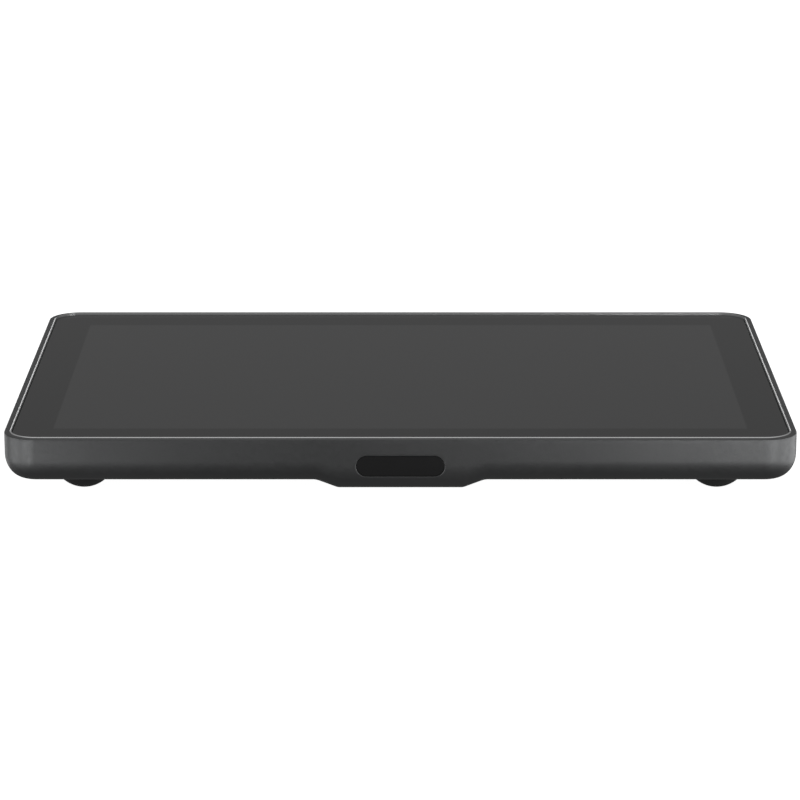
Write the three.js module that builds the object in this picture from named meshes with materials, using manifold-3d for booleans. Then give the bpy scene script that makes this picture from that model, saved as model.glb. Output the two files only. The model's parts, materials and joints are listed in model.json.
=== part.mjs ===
// Eight-inch smart display that lies face up on four domed feet.
// Millimetres, +Z up. The origin is on the table under the middle of the body.
// The edge with the sensor window faces -Y, and X runs along the long side.
import * as THREE from "three";
import { mergeVertices } from "three/addons/utils/BufferGeometryUtils.js";
import Module from "manifold-3d";

const wasm = await Module();
wasm.setup();

// ---------- driving dimensions ----------

const BODY = { width: 196, depth: 133, corner: 8.3, slab: 11.42, floor: 1.6, wall: 2 };
const FRONT = -BODY.depth / 2; // the edge with the sensor window
const EDGE = { inset: 4.8, height: 6, steps: 6, top: 0.25 }; // rounded lower edge, eased top edge
const FLOOR_INSET = 4.6; // from the outline to the inside floor
const TOUCHING = 0.05; // air left between faces that meet
const THROUGH = 1; // how far a cutting tool runs past the faces it cuts

// The screen is a standard 8.0 inch 16:10 panel, and sits a little towards the front.
const ACTIVE = { width: 172.3, depth: 107.7, y: -1 };
const RIM = { land: 1.3, fit: 0.05, ring: 0.45, proud: 0.15, bevel: 0.3 };
const GLASS = { recess: 0.45, thick: 1.1, gap: 0.12 };
const GASKET = { thick: 0.55, outer: 2.2, inner: 4.8 };
const TOUCH_FILM = { border: 3.6, thick: 0.3 };
const LCD = { border: 2.2, thick: 1 };
const BACKLIGHT = { border: 2.7, thick: 1.6 };
const CHASSIS = { gap: 0.15, plate: 1, rim: 2.85, clear: 0.15, post: 3.5, thread: 1.2, lap: 0.2 };

// Feet: a ball cut flat where it meets the table, in a shallow seat over the chassis screw.
const FOOT = { height: 4.33, ball: 8, flat: 2, fromSide: 19.1, fromEnd: 14.5, seat: 0.7, gap: 0.13 };
const BOSS = { radius: 6, top: 8.2, bore: 2.7, ledge: 6.7, pilot: 1.4 };
const CHASSIS_SCREW = { shank: 1.1, head: 2.4, headUnder: 0.95, tip: 10.6, socket: 1.1, deep: 0.8 };

// The spine under the middle, whose front end is the body's front wall carried further down.
const SPINE = { drop: 2.05, half: 15.5, rear: 30, run: 2.58, stretch: 0.6, inside: 13.5 };
const BAY = { half: 8, corner: 2, near: -4, far: 30, depth: 7, wall: 1, ceiling: 0.85 };
const USB = { width: 8.94, height: 3.26, length: 7.3, skin: 0.3, back: 0.9, hole: 0.35 };
const TONGUE = { width: 6.7, length: 5.4, thick: 0.7, inset: 0.5 };
const INSERT = { x: 9, front: -52, rear: -12, outer: 2.1, bore: 1.25, length: 3, boss: 3.3, top: 6.2 };

const WINDOW = { width: 21.8, height: 5.36, belowLand: 6.96, recess: 0.35, clear: 0.15 };
const FLANGE = { width: 24.4, height: 7, thick: 0.7 };
const SENSOR_GASKET = { thick: 0.75, width: 20, height: 4 };
const SENSOR_BOARD = { width: 30, height: 7.5, thick: 0.8, pocket: 31, roof: 0.6 };
const SENSOR = { deep: 0.68, presenceX: -4, presence: [6, 3.2], lightX: 5, light: [2, 1.6] };

const BOARD = { width: 100, front: -54, rear: -7, corner: 2, thick: 1, overSocket: 1.7 };
const POST = { radius: 2.5, pilot: 0.85, sink: 0.7, hole: 1 };
const BOARD_SCREW = { shank: 0.7, head: 1.6, headHigh: 1, socket: 0.7, deep: 0.5, short: 0.5 };
const FLEX = { thick: 0.2, bend: 0.6, turn: -59.7, slot: 2.2, over: 1.1, end: -51.8 };
const SENSOR_FLEX = { width: 8, low: 6.6, high: 7.9, path: [-60.4, -59.6, -58.6, -57.8] };

const SPEAKER = { x: 70, width: 34, depth: 26, corner: 3, height: 3.9 };
const MOUTH = { width: 24, depth: 18, corner: 6, height: 0.8 };
const SLOT = { count: 6, pitch: 3.2, length: 16, width: 1.4 };
const ANTENNA = { x: 90.9, y: 28, width: 3, length: 36, thick: 0.8 };

const RESET = { y: -25, travel: 0.4, cap: 1.65, hole: 1.8, stem: 1.1, flange: 2.5, rest: 0.6 };
const SWITCH = { size: 4.4, height: 0.75, bore: 0.95, plunger: 0.8, into: 0.25, spare: 0.1 };

// ---------- levels above the table ----------

const SLAB_BOTTOM = FOOT.height;
const LAND = SLAB_BOTTOM + BODY.slab;
const FLOOR_TOP = SLAB_BOTTOM + BODY.floor;
const SPINE_BOTTOM = SLAB_BOTTOM - SPINE.drop;
const SPINE_FLOOR_TOP = SPINE_BOTTOM + BODY.floor;
const GLASS_TOP = LAND - GLASS.recess;
const GLASS_BOTTOM = GLASS_TOP - GLASS.thick;
const LEDGE = GLASS_BOTTOM - GASKET.thick;
const FILM_BOTTOM = GLASS_BOTTOM - TOUCH_FILM.thick;
const LCD_BOTTOM = FILM_BOTTOM - LCD.thick;
const BACKLIGHT_BOTTOM = LCD_BOTTOM - BACKLIGHT.thick;
const PLATE_TOP = BACKLIGHT_BOTTOM - CHASSIS.clear;
const PLATE_BOTTOM = PLATE_TOP - CHASSIS.plate;
const WINDOW_Z = LAND - WINDOW.belowLand;
const BAY_CEILING = SPINE_BOTTOM + BAY.depth;
const SOCKET_Z = SPINE_BOTTOM + BAY.depth / 2;
const BOARD_BOTTOM = SOCKET_Z + BOARD.overSocket;
const BOARD_TOP = BOARD_BOTTOM + BOARD.thick;

// ---------- finishes ----------

const finish = (color, roughness, metalness) =>
  new THREE.MeshStandardMaterial({ color, roughness, metalness });
const FINISH = {
  housing: finish(0x4a4b4b, 0.42, 0.75),
  trim: finish(0xb9bbbb, 0.25, 1),
  glass: finish(0x1c1c1d, 0.12, 0),
  sensorLens: finish(0x161616, 0.2, 0),
  rubber: finish(0x222324, 0.8, 0),
  foam: finish(0x1b1b1b, 0.95, 0),
  film: finish(0x9aa0a6, 0.3, 0),
  panel: finish(0x0d0e12, 0.3, 0),
  steel: finish(0xa8abae, 0.35, 1),
  moulding: finish(0x2a2b2c, 0.6, 0),
  circuitBoard: finish(0x14382b, 0.5, 0),
  chip: finish(0x17181a, 0.5, 0),
  shield: finish(0xb4b8ba, 0.35, 1),
  thermalPad: finish(0x8ea3ad, 0.9, 0),
  flex: finish(0xa8662c, 0.45, 0),
  brass: finish(0xb8955a, 0.35, 1),
  copper: finish(0xb26a3c, 0.4, 1),
};

// ---------- solids ----------

// A closed geometry as a manifold-3d solid.
function solid(geometry) {
  const bare = new THREE.BufferGeometry();
  bare.setAttribute("position", geometry.getAttribute("position"));
  if (geometry.index) bare.setIndex(geometry.index);
  const merged = mergeVertices(bare, 1e-4);
  return new wasm.Manifold(
    new wasm.Mesh({
      numProp: 3,
      vertProperties: new Float32Array(merged.attributes.position.array),
      triVerts: new Uint32Array(merged.index.array),
    }),
  );
}

// A manifold-3d solid as a geometry.
function geometryOf(made) {
  const mesh = made.getMesh();
  return new THREE.BufferGeometry()
    .setAttribute("position", new THREE.BufferAttribute(mesh.vertProperties, 3))
    .setIndex(new THREE.BufferAttribute(mesh.triVerts, 1));
}

const union = (...pieces) => pieces.reduce((sum, piece) => sum.add(piece));
const cut = (first, ...tools) => tools.reduce((rest, tool) => rest.subtract(tool), first);
const spread = (count, at) => Array.from({ length: count + 1 }, (_, i) => at(i / count));

// An anticlockwise arc of a circle, from an angle and through a sweep, in radians.
const arc = (cx, cy, radius, from, sweep, steps) =>
  spread(steps, (t) => {
    const angle = from + sweep * t;
    return new THREE.Vector2(cx + radius * Math.cos(angle), cy + radius * Math.sin(angle));
  });

// A rectangle with rounded corners, anticlockwise, about a centre.
function roundedRectangle(width, depth, corner, steps = 3, cx = 0, cy = 0) {
  const [x, y, quarter] = [width / 2 - corner, depth / 2 - corner, Math.PI / 2];
  return [
    ...arc(cx + x, cy + y, corner, 0, quarter, steps),
    ...arc(cx - x, cy + y, corner, quarter, quarter, steps),
    ...arc(cx - x, cy - y, corner, 2 * quarter, quarter, steps),
    ...arc(cx + x, cy - y, corner, 3 * quarter, quarter, steps),
  ];
}

// The body's outline in plan, moved in by inset.
const bodyOutline = (inset) =>
  roundedRectangle(BODY.width - 2 * inset, BODY.depth - 2 * inset, BODY.corner - inset, 8);

// Closed anticlockwise outlines with the same number of points, stacked along Z and capped.
function loft(levels) {
  const count = levels[0].points.length;
  const position = levels.flatMap(({ at, points }) => points.flatMap((p) => [p.x, p.y, at]));
  const index = [];
  levels.slice(1).forEach((_, level) => {
    for (let i = 0; i < count; i++) {
      const [a, b] = [level * count + i, level * count + ((i + 1) % count)];
      index.push(a, b, b + count, a, b + count, a + count);
    }
  });
  const top = (levels.length - 1) * count;
  for (const [a, b, c] of THREE.ShapeUtils.triangulateShape(levels[0].points, [])) {
    index.push(a, c, b);
  }
  for (const [a, b, c] of THREE.ShapeUtils.triangulateShape(levels.at(-1).points, [])) {
    index.push(top + a, top + b, top + c);
  }
  return new THREE.BufferGeometry()
    .setAttribute("position", new THREE.Float32BufferAttribute(position, 3))
    .setIndex(index);
}

// The same along X, with outlines of [y, z] points.
const Y_Z_X = new THREE.Matrix4().makeBasis(
  new THREE.Vector3(0, 1, 0),
  new THREE.Vector3(0, 0, 1),
  new THREE.Vector3(1, 0, 0),
);
const loftAlongX = (levels) => solid(loft(levels).applyMatrix4(Y_Z_X));

const prism = (points, low, high) => solid(loft([{ at: low, points }, { at: high, points }]));
const ring = (outer, inner, low, high) =>
  cut(prism(outer, low, high), prism(inner, low - THROUGH, high + THROUGH));

function box(width, depth, low, high, x = 0, y = 0) {
  const geometry = new THREE.BoxGeometry(width, depth, high - low);
  return solid(geometry.translate(x, y, (low + high) / 2));
}

// A round bar standing at a spot { x, y }.
function rod(radius, low, high, { x, y }, sides = 16) {
  const geometry = new THREE.CylinderGeometry(radius, radius, high - low, sides);
  return solid(geometry.rotateX(Math.PI / 2).translate(x, y, (low + high) / 2));
}

// A profile of [radius, height] pairs, from its lowest point to its highest, turned about a spot.
function turned(profile, { x, y }, sides) {
  const points = profile.map(([radius, z]) => new THREE.Vector2(radius, z));
  const geometry = new THREE.LatheGeometry(points, sides);
  return solid(geometry.rotateX(Math.PI / 2).translate(x, y, 0));
}

// A bar with round ends, as wide and high as given, running along Y.
function slotAlongY(width, height, near, far, z, steps) {
  const [radius, half] = [height / 2, (width - height) / 2];
  const shape = new THREE.Shape([
    ...arc(half, 0, radius, -Math.PI / 2, Math.PI, steps),
    ...arc(-half, 0, radius, Math.PI / 2, Math.PI, steps),
  ]);
  const geometry = new THREE.ExtrudeGeometry(shape, { depth: far - near, bevelEnabled: false });
  return solid(geometry.rotateX(Math.PI / 2).translate(0, far, z));
}

// A flat ribbon that follows [y, z] points and is width wide along X.
function ribbon(line, width, x) {
  const points = line.map(([y, z]) => new THREE.Vector2(y, z));
  const side = (sign) =>
    points.map((point, i) => {
      const before = points[Math.max(i - 1, 0)];
      const after = points[Math.min(i + 1, points.length - 1)];
      const along = after.clone().sub(before).normalize();
      const across = new THREE.Vector2(-along.y, along.x);
      return point.clone().addScaledVector(across, (sign * FLEX.thick) / 2);
    });
  const outline = [...side(-1), ...side(1).reverse()];
  if (THREE.ShapeUtils.isClockWise(outline)) outline.reverse();
  return loftAlongX([
    { at: x - width / 2, points: outline },
    { at: x + width / 2, points: outline },
  ]);
}

const display = new THREE.Group();
function add(name, made, material) {
  const mesh = new THREE.Mesh(geometryOf(made), material);
  mesh.name = name;
  display.add(mesh);
}

// ---------- where the fasteners go ----------

const corners = (left, right, front, rear) => [
  { name: "front_left", x: left, y: front },
  { name: "front_right", x: right, y: front },
  { name: "rear_left", x: left, y: rear },
  { name: "rear_right", x: right, y: rear },
];
const FOOT_X = BODY.width / 2 - FOOT.fromSide;
const FOOT_Y = BODY.depth / 2 - FOOT.fromEnd;
const FOOT_SPOTS = corners(-FOOT_X, FOOT_X, -FOOT_Y, FOOT_Y);
const POST_INSET = 3.75;
const BOARD_SPOTS = corners(
  -BOARD.width / 2 + POST_INSET,
  BOARD.width / 2 - POST_INSET,
  BOARD.front + POST_INSET,
  BOARD.rear - POST_INSET,
);
const INSERT_SPOTS = corners(-INSERT.x, INSERT.x, INSERT.front, INSERT.rear);
const RESET_SPOT = { x: 0, y: RESET.y };

// ---------- housing ----------

// The rounded lower edge as [inset, height] pairs, from the wall down to the underside.
function lowerEdge(drop) {
  const tall = EDGE.height + SPINE.stretch * drop;
  return spread(EDGE.steps, (t) => {
    const angle = (Math.PI / 2) * t;
    return [
      EDGE.inset * (1 - Math.cos(angle)),
      SLAB_BOTTOM - drop + tall * (1 - Math.sin(angle)),
    ];
  });
}

function slabBody() {
  const rounding = lowerEdge(0).reverse();
  const easing = spread(2, (t) => {
    const angle = (Math.PI / 2) * t;
    return [EDGE.top * (1 - Math.cos(angle)), LAND - EDGE.top * (1 - Math.sin(angle))];
  });
  const levels = [...rounding, ...easing];
  return solid(loft(levels.map(([inset, at]) => ({ at, points: bodyOutline(inset) }))));
}

function spineBody() {
  const roof = LAND - BODY.wall;
  const section = (at, drop) => ({
    at,
    points: [
      [FRONT, roof],
      ...lowerEdge(drop).map(([inset, z]) => [FRONT + inset, z]),
      [SPINE.rear, SLAB_BOTTOM - drop],
      [SPINE.rear + SPINE.run * SPINE.drop, SLAB_BOTTOM - TOUCHING * drop],
      [SPINE.rear + SPINE.run * SPINE.drop, roof],
    ].map(([y, z]) => new THREE.Vector2(y, z)),
  });
  const foot = SPINE.half + SPINE.run * SPINE.drop;
  return loftAlongX([
    section(-foot, 0),
    section(-SPINE.half, SPINE.drop),
    section(SPINE.half, SPINE.drop),
    section(foot, 0),
  ]);
}

// Room for the screen and the electronics.
function interior() {
  const main = solid(
    loft([
      { at: FLOOR_TOP, points: bodyOutline(FLOOR_INSET) },
      { at: BOSS.top, points: bodyOutline(BODY.wall) },
      { at: LEDGE, points: bodyOutline(BODY.wall) },
    ]),
  );
  const rebate = prism(bodyOutline(RIM.land), LEDGE - TOUCHING, LAND + THROUGH);
  const [near, far] = [FRONT + FLOOR_INSET, BAY.near - 2 * BAY.wall];
  const spineRoom = box(
    2 * SPINE.inside,
    far - near,
    SPINE_FLOOR_TOP,
    FLOOR_TOP + THROUGH,
    0,
    (near + far) / 2,
  );
  const pocketDepth = 3;
  const sensorPocket = box(
    SENSOR_BOARD.pocket,
    pocketDepth,
    WINDOW_Z - SENSOR_BOARD.height / 2 - CHASSIS.lap,
    LEDGE - SENSOR_BOARD.roof,
    0,
    FRONT + BODY.wall + pocketDepth / 2,
  );
  return union(main, rebate, spineRoom, sensorPocket);
}

function housing() {
  const bayLength = BAY.far - BAY.near;
  const bayMiddle = (BAY.far + BAY.near) / 2;
  const bayWalls = box(
    2 * (BAY.half + BAY.wall),
    bayLength + 2 * BAY.wall,
    SPINE_FLOOR_TOP - TOUCHING,
    BAY_CEILING + BAY.ceiling,
    0,
    bayMiddle,
  );
  const bayOutline = roundedRectangle(2 * BAY.half, bayLength, BAY.corner, 3, 0, bayMiddle);
  const wallBack = FRONT + BODY.wall + THROUGH;
  const insertTop = SPINE_BOTTOM + INSERT.length + 3 * TOUCHING;

  const shell = union(
    cut(union(slabBody(), spineBody()), interior()),
    bayWalls,
    ...FOOT_SPOTS.map((spot) => rod(BOSS.radius, FLOOR_TOP - TOUCHING, BOSS.top, spot, 20)),
    ...BOARD_SPOTS.map((spot) =>
      rod(POST.radius, FLOOR_TOP - TOUCHING, BOARD_BOTTOM - TOUCHING, spot),
    ),
    ...INSERT_SPOTS.map((spot) => rod(INSERT.boss, SPINE_FLOOR_TOP - TOUCHING, INSERT.top, spot)),
  );
  return cut(
    shell,
    slotAlongY(WINDOW.width, WINDOW.height, FRONT - THROUGH, wallBack, WINDOW_Z, 10),
    prism(bayOutline, SPINE_BOTTOM - THROUGH, BAY_CEILING),
    slotAlongY(
      USB.width + USB.hole,
      USB.height + USB.hole,
      BAY.near - BAY.wall - THROUGH,
      BAY.near + THROUGH,
      SOCKET_Z,
      5,
    ),
    ...FOOT_SPOTS.flatMap((spot) => [
      rod(footRadius(0) + FOOT.gap, SLAB_BOTTOM - THROUGH, SLAB_BOTTOM + FOOT.seat, spot, 32),
      rod(BOSS.bore, SLAB_BOTTOM, BOSS.ledge, spot),
      rod(BOSS.pilot, BOSS.ledge - TOUCHING, BOSS.top + THROUGH, spot),
    ]),
    ...BOARD_SPOTS.map((spot) => rod(POST.pilot, FLOOR_TOP - POST.sink, BOARD_TOP, spot, 10)),
    ...INSERT_SPOTS.map((spot) =>
      rod(INSERT.outer + TOUCHING, SPINE_BOTTOM - THROUGH, insertTop, spot),
    ),
    rod(RESET.hole, SPINE_BOTTOM - THROUGH, SPINE_FLOOR_TOP + THROUGH, RESET_SPOT, 18),
    ...soundSlots(),
  );
}

// Slots in the underside, below each speaker.
function soundSlots() {
  const roundEnd = SLOT.width / 2 - TOUCHING;
  return [-SPEAKER.x, SPEAKER.x].flatMap((middle) =>
    spread(SLOT.count - 1, (t) => {
      const x = middle + (t - 0.5) * (SLOT.count - 1) * SLOT.pitch;
      const outline = roundedRectangle(SLOT.width, SLOT.length, roundEnd, 3, x, 0);
      return prism(outline, SLAB_BOTTOM - THROUGH, FLOOR_TOP + THROUGH);
    }),
  );
}

// A foot's radius at a depth below the underside.
function footRadius(depth) {
  const centre = Math.sqrt(FOOT.ball ** 2 - FOOT.flat ** 2);
  return Math.sqrt(FOOT.ball ** 2 - (centre - FOOT.height + depth) ** 2);
}

function foot(spot) {
  const dome = spread(7, (t) => {
    const depth = FOOT.height * Math.cos((t * Math.PI) / 2);
    return [footRadius(depth), SLAB_BOTTOM - depth];
  });
  const seatTop = SLAB_BOTTOM + FOOT.seat - TOUCHING;
  return turned([[0, 0], ...dome, [footRadius(0), seatTop], [0, seatTop]], spot, 32);
}

// ---------- screen ----------

// A layer of the screen, wider than the lit area by its border all round.
const layer = (border, low, high) =>
  box(ACTIVE.width + 2 * border, ACTIVE.depth + 2 * border, low, high, 0, ACTIVE.y);

function bezelRing() {
  const outer = RIM.land + RIM.fit;
  const crest = LAND + RIM.proud;
  const body = loft([
    { at: LEDGE, points: bodyOutline(outer) },
    { at: LAND, points: bodyOutline(outer) },
    { at: crest, points: bodyOutline(outer + RIM.bevel) },
  ]);
  return cut(solid(body), prism(bodyOutline(outer + RIM.ring), LEDGE - THROUGH, crest + THROUGH));
}

function chassis() {
  const outer = BODY.wall + CHASSIS.gap;
  const inner = outer + CHASSIS.rim;
  const flexSlot = (width, x) =>
    box(width + 4, FLEX.slot, PLATE_BOTTOM - THROUGH, PLATE_TOP + THROUGH, x, FLEX.turn);
  const frame = union(
    prism(bodyOutline(outer), PLATE_BOTTOM, PLATE_TOP),
    ring(bodyOutline(outer), bodyOutline(inner), PLATE_TOP - CHASSIS.lap, LEDGE - TOUCHING),
    ...FOOT_SPOTS.map((spot) =>
      rod(CHASSIS.post, BOSS.top + TOUCHING, PLATE_BOTTOM + CHASSIS.lap, spot),
    ),
  );
  return cut(
    frame,
    ...FOOT_SPOTS.map((spot) =>
      rod(CHASSIS.thread, BOSS.top - THROUGH, PLATE_TOP - CHASSIS.lap, spot),
    ),
    box(
      SENSOR_BOARD.pocket + 1,
      CHASSIS.rim,
      PLATE_BOTTOM - THROUGH,
      LEDGE - SENSOR_BOARD.roof,
      0,
      FRONT + outer + CHASSIS.rim / 2,
    ),
    flexSlot(DISPLAY_FLEX.width, DISPLAY_FLEX.x),
    flexSlot(TOUCH_FLEX.width, TOUCH_FLEX.x),
  );
}

// ---------- electronics ----------

const DISPLAY_FLEX = { width: 22, x: 30, border: LCD.border, z: LCD_BOTTOM + LCD.thick / 2 };
const TOUCH_FLEX = {
  width: 9,
  x: -30,
  border: TOUCH_FILM.border,
  z: FILM_BOTTOM + TOUCH_FILM.thick / 2,
};

// A flex from the front edge of a screen layer, down through the chassis and back to the board.
function screenFlex({ width, x, border, z }) {
  const [cy, low] = [FLEX.turn + FLEX.bend, BOARD_TOP + FLEX.over];
  const start = ACTIVE.y - ACTIVE.depth / 2 - border - 2 * TOUCHING;
  const bend = (cz, from) =>
    arc(cy, cz, FLEX.bend, from, Math.PI / 2, 3).map((point) => [point.x, point.y]);
  const line = [
    [start, z],
    ...bend(z - FLEX.bend, Math.PI / 2),
    ...bend(low + FLEX.bend, Math.PI),
    [FLEX.end, low],
  ];
  return ribbon(line, width, x);
}

function circuitBoard() {
  const outline = roundedRectangle(
    BOARD.width,
    BOARD.rear - BOARD.front,
    BOARD.corner,
    3,
    0,
    (BOARD.rear + BOARD.front) / 2,
  );
  const holes = BOARD_SPOTS.map((spot) =>
    rod(POST.hole, BOARD_BOTTOM - THROUGH, BOARD_TOP + THROUGH, spot),
  );
  return cut(prism(outline, BOARD_BOTTOM, BOARD_TOP), ...holes);
}

// Plain packages on the main board and the space under it.
const above = BOARD_TOP + TOUCHING;
const below = BOARD_BOTTOM - TOUCHING;
const PACKAGES = [
  { name: "processor_shield", size: [24, 24], at: [-28, -30], z: [below - 0.95, below], of: "shield" },
  {
    name: "thermal_pad",
    size: [20, 20],
    at: [-28, -30],
    z: [FLOOR_TOP + TOUCHING, below - 1],
    of: "thermalPad",
  },
  { name: "wifi_module", size: [12, 16], at: [30, -20], z: [above, above + 1.4], of: "shield" },
  { name: "memory_chip", size: [14, 11], at: [-24, -22], z: [above, above + 0.9], of: "chip" },
  { name: "storage_chip", size: [11, 13], at: [-24, -38], z: [above, above + 0.9], of: "chip" },
  { name: "power_inductor", size: [6, 6], at: [4, -14], z: [above, above + 1.4], of: "chip" },
  {
    name: "display_connector",
    size: [24, 3],
    at: [DISPLAY_FLEX.x, -50.2],
    z: [above, above + 1.4],
    of: "moulding",
  },
  {
    name: "touch_connector",
    size: [11, 3],
    at: [TOUCH_FLEX.x, -50.2],
    z: [above, above + 1.4],
    of: "moulding",
  },
];

function chassisScrew(spot) {
  const [under, seat] = [SLAB_BOTTOM + CHASSIS_SCREW.headUnder, BOSS.ledge - TOUCHING];
  const { shank, head, tip, socket, deep } = CHASSIS_SCREW;
  const profile = [[0, under], [head, under], [head, seat], [shank, seat], [shank, tip], [0, tip]];
  return cut(turned(profile, spot, 16), rod(socket, under - THROUGH, under + deep, spot, 6));
}

function boardScrew(spot) {
  const [seat, tip] = [BOARD_TOP + TOUCHING, FLOOR_TOP - BOARD_SCREW.short];
  const { shank, head, headHigh, socket, deep } = BOARD_SCREW;
  const top = seat + headHigh;
  const profile = [[0, tip], [shank, tip], [shank, seat], [head, seat], [head, top], [0, top]];
  return cut(turned(profile, spot, 14), rod(socket, top - deep, top + THROUGH, spot, 6));
}

function mountInsert(spot) {
  const [low, high] = [SPINE_BOTTOM + TOUCHING, SPINE_BOTTOM + TOUCHING + INSERT.length];
  return cut(
    rod(INSERT.outer, low, high, spot),
    rod(INSERT.bore, low - THROUGH, high + THROUGH, spot),
  );
}

function usbSocket() {
  const back = BAY.near - USB.length;
  const [width, height] = [USB.width - 2 * USB.skin, USB.height - 2 * USB.skin];
  const middle = back + TONGUE.inset + TONGUE.length / 2;
  const shell = cut(
    slotAlongY(USB.width, USB.height, back, BAY.near, SOCKET_Z, 5),
    slotAlongY(width, height, back + USB.back, BAY.near + THROUGH, SOCKET_Z, 5),
  );
  const [low, high] = [SOCKET_Z - TONGUE.thick / 2, SOCKET_Z + TONGUE.thick / 2];
  return union(shell, box(TONGUE.width, TONGUE.length, low, high, 0, middle));
}

function speaker(x) {
  const low = FLOOR_TOP + TOUCHING;
  const { width, depth, corner, height } = SPEAKER;
  const body = prism(roundedRectangle(width, depth, corner, 3, x, 0), low, low + height);
  const mouth = roundedRectangle(MOUTH.width, MOUTH.depth, MOUTH.corner, 4, x, 0);
  return cut(body, prism(mouth, low - THROUGH, low + MOUTH.height));
}

// ---------- sensor stack, from the window in the front wall inwards ----------

const FLANGE_FACE = FRONT + BODY.wall + TOUCHING;
const FLANGE_BACK = FLANGE_FACE + FLANGE.thick;
const SENSOR_FACE = FLANGE_BACK + SENSOR_GASKET.thick;

// The lens follows the wall a little way in, and its flange sits behind the wall.
function sensorWindow() {
  const [width, height] = [WINDOW.width - 2 * WINDOW.clear, WINDOW.height - 2 * WINDOW.clear];
  const bar = slotAlongY(width, height, FRONT, FLANGE_FACE + TOUCHING, WINDOW_Z, 10);
  const lens = bar.intersect(spineBody().translate([0, WINDOW.recess, 0]));
  return union(
    lens,
    slotAlongY(FLANGE.width, FLANGE.height, FLANGE_FACE, FLANGE_BACK, WINDOW_Z, 8),
  );
}

function sensorGasket() {
  const [near, far] = [FLANGE_BACK + TOUCHING / 2, SENSOR_FACE - TOUCHING / 2];
  const { width, height } = SENSOR_GASKET;
  return cut(
    slotAlongY(FLANGE.width, FLANGE.height, near, far, WINDOW_Z, 6),
    slotAlongY(width, height, near - THROUGH, far + THROUGH, WINDOW_Z, 6),
  );
}

function sensorChip([width, height], x) {
  const y = SENSOR_FACE - TOUCHING - SENSOR.deep / 2;
  return box(width, SENSOR.deep, WINDOW_Z - height / 2, WINDOW_Z + height / 2, x, y);
}

function sensorFlex() {
  const { width, low, high, path } = SENSOR_FLEX;
  const start = SENSOR_FACE + SENSOR_BOARD.thick + TOUCHING;
  const line = [
    [start, low],
    [path[0], low],
    [path[1], low + (high - low) * 0.15],
    [path[2], low + (high - low) * 0.8],
    [path[3], high],
    [BOARD.front - TOUCHING, high],
  ];
  return ribbon(line, width, 0);
}

// ---------- reset button ----------

const SWITCH_LOW = below - SWITCH.height;
const STEM_TOP = SWITCH_LOW - TOUCHING - RESET.travel - SWITCH.spare;

function resetButton() {
  const flange = SPINE_FLOOR_TOP + TOUCHING;
  const face = SPINE_BOTTOM + RESET.travel;
  return turned(
    [
      [0, face],
      [RESET.cap, face],
      [RESET.cap, flange],
      [RESET.flange, flange],
      [RESET.flange, flange + RESET.rest],
      [RESET.stem, flange + RESET.rest],
      [RESET.stem, STEM_TOP],
      [0, STEM_TOP],
    ],
    RESET_SPOT,
    18,
  );
}

function resetSwitch() {
  return cut(
    box(SWITCH.size, SWITCH.size, SWITCH_LOW, below, 0, RESET.y),
    rod(SWITCH.bore, SWITCH_LOW - THROUGH, below + THROUGH, RESET_SPOT, 12),
  );
}

// ---------- assembly ----------

add("housing", housing(), FINISH.housing);
add("bezel_ring", bezelRing(), FINISH.trim);
const glassInset = RIM.land + RIM.fit + RIM.ring + GLASS.gap;
add("cover_glass", prism(bodyOutline(glassInset), GLASS_BOTTOM, GLASS_TOP), FINISH.glass);
const tape = [bodyOutline(GASKET.outer), bodyOutline(GASKET.inner)];
add("glass_gasket", ring(...tape, LEDGE, GLASS_BOTTOM - TOUCHING / 2), FINISH.foam);
const filmFaces = [FILM_BOTTOM + TOUCHING / 2, GLASS_BOTTOM - TOUCHING / 2];
add("touch_film", layer(TOUCH_FILM.border, ...filmFaces), FINISH.film);
add("lcd_cell", layer(LCD.border, LCD_BOTTOM, FILM_BOTTOM), FINISH.panel);
const backlightTop = LCD_BOTTOM - TOUCHING / 2;
add("backlight_unit", layer(BACKLIGHT.border, BACKLIGHT_BOTTOM, backlightTop), FINISH.steel);
add("chassis_frame", chassis(), FINISH.moulding);

for (const spot of FOOT_SPOTS) {
  add(`foot_${spot.name}`, foot(spot), FINISH.rubber);
  add(`chassis_screw_${spot.name}`, chassisScrew(spot), FINISH.steel);
}

add("main_board", circuitBoard(), FINISH.circuitBoard);
for (const spot of BOARD_SPOTS) add(`board_screw_${spot.name}`, boardScrew(spot), FINISH.steel);
for (const spot of INSERT_SPOTS) add(`mount_insert_${spot.name}`, mountInsert(spot), FINISH.brass);
for (const { name, size, at, z, of } of PACKAGES) add(name, box(...size, ...z, ...at), FINISH[of]);
add("display_flex", screenFlex(DISPLAY_FLEX), FINISH.flex);
add("touch_flex", screenFlex(TOUCH_FLEX), FINISH.flex);
add("usb_c_socket", usbSocket(), FINISH.steel);

add("sensor_window", sensorWindow(), FINISH.sensorLens);
add("sensor_gasket", sensorGasket(), FINISH.foam);
add("presence_sensor", sensorChip(SENSOR.presence, SENSOR.presenceX), FINISH.chip);
add("light_sensor", sensorChip(SENSOR.light, SENSOR.lightX), FINISH.chip);
add(
  "sensor_board",
  box(
    SENSOR_BOARD.width,
    SENSOR_BOARD.thick,
    WINDOW_Z - SENSOR_BOARD.height / 2,
    WINDOW_Z + SENSOR_BOARD.height / 2,
    0,
    SENSOR_FACE + SENSOR_BOARD.thick / 2,
  ),
  FINISH.circuitBoard,
);
add("sensor_flex", sensorFlex(), FINISH.flex);

for (const [name, side] of [["left", -1], ["right", 1]]) {
  add(`speaker_${name}`, speaker(side * SPEAKER.x), FINISH.moulding);
  const { x, y, width, length, thick } = ANTENNA;
  const low = PLATE_TOP + TOUCHING;
  add(`antenna_${name}`, box(width, length, low, low + thick, side * x, y), FINISH.copper);
}

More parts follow.
